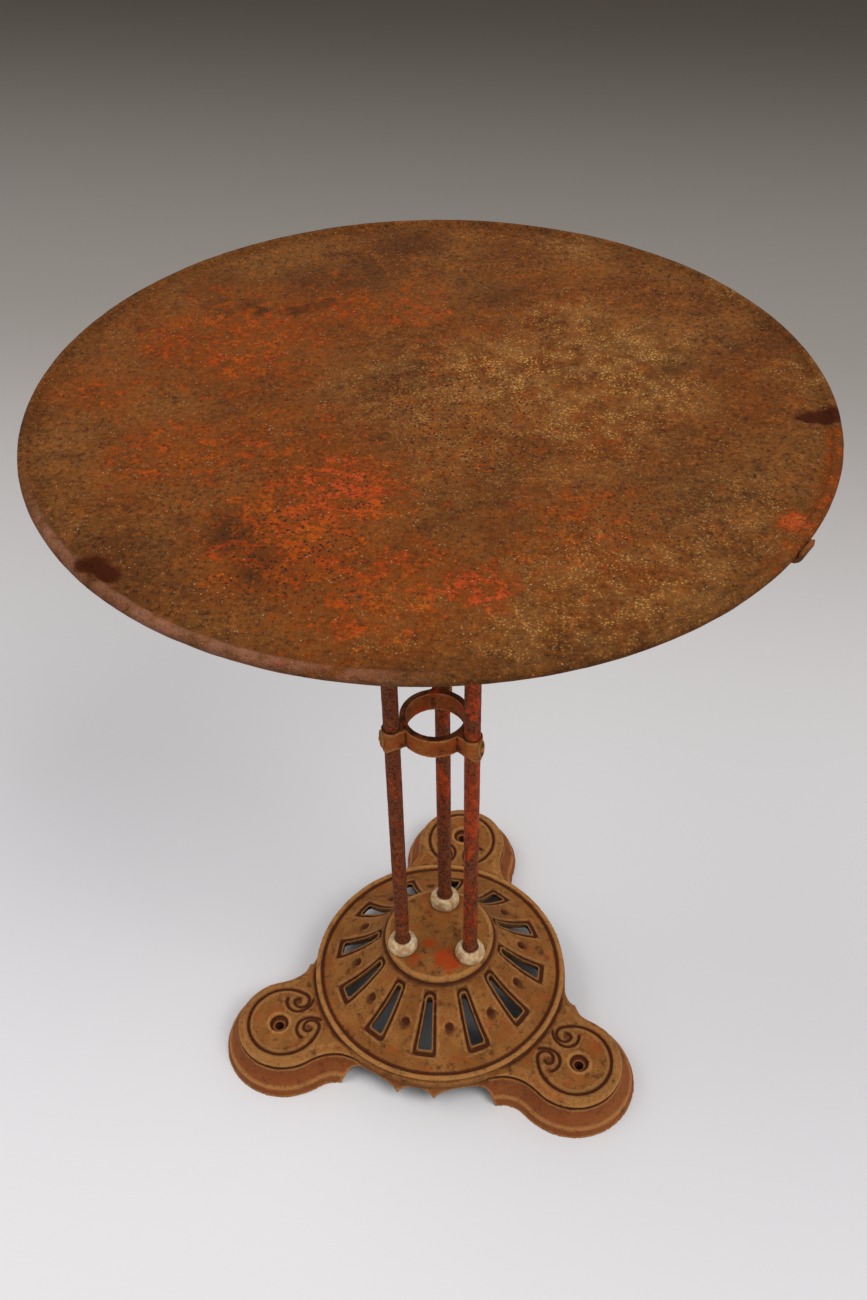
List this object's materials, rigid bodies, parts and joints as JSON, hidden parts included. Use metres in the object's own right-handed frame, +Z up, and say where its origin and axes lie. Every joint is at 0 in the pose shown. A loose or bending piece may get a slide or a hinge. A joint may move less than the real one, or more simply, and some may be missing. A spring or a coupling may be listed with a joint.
{
  "type": "pedestal table",
  "caption": "Round garden pedestal table: rolled-rim sheet top on parallel rods, a ring collar and a pierced, three-lobed cast base.",
  "frame": {"origin": "on the floor, under the centre of the round top", "axes": "+Z up; the back foot lies on +Y, and the two front feet at 210 and 330 degrees from +X"},
  "size_m": [0.5499, 0.55, 0.744],
  "materials": {
    "rusted_sheet": "brown granular rust over worn orange paint",
    "rusted_iron": "dark brown rust",
    "painted_rod": "worn orange-red paint with purple-brown rust patches",
    "cast_collar": "orange-brown rust on worn paint",
    "cast_base": "yellow-brown rust, darker in the sunk lines",
    "ferrule": "dull pale grey-beige weathered metal",
    "fasteners": "dark rust"
  },
  "bodies": {
    "root": {"tabletop_sheet": "rusted_sheet", "rim_wire": "rusted_iron", "top_spider": "cast_base", "brace_arm_back": "rusted_iron", "brace_arm_front_left": "rusted_iron", "brace_arm_front_right": "rusted_iron", "arm_rivets": "fasteners", "top_lock_nuts": "fasteners", "rod_back": "painted_rod", "rod_front_left": "painted_rod", "rod_front_right": "painted_rod", "collar_ring": "cast_collar", "collar_shield_back": "cast_collar", "collar_shield_front_left": "cast_collar", "collar_shield_front_right": "cast_collar", "collar_pins": "fasteners", "rod_ferrule_back": "ferrule", "rod_ferrule_front_left": "ferrule", "rod_ferrule_front_right": "ferrule", "base_casting": "cast_base", "base_washers": "fasteners", "base_nuts": "fasteners"}
  },
  "joints": []
}
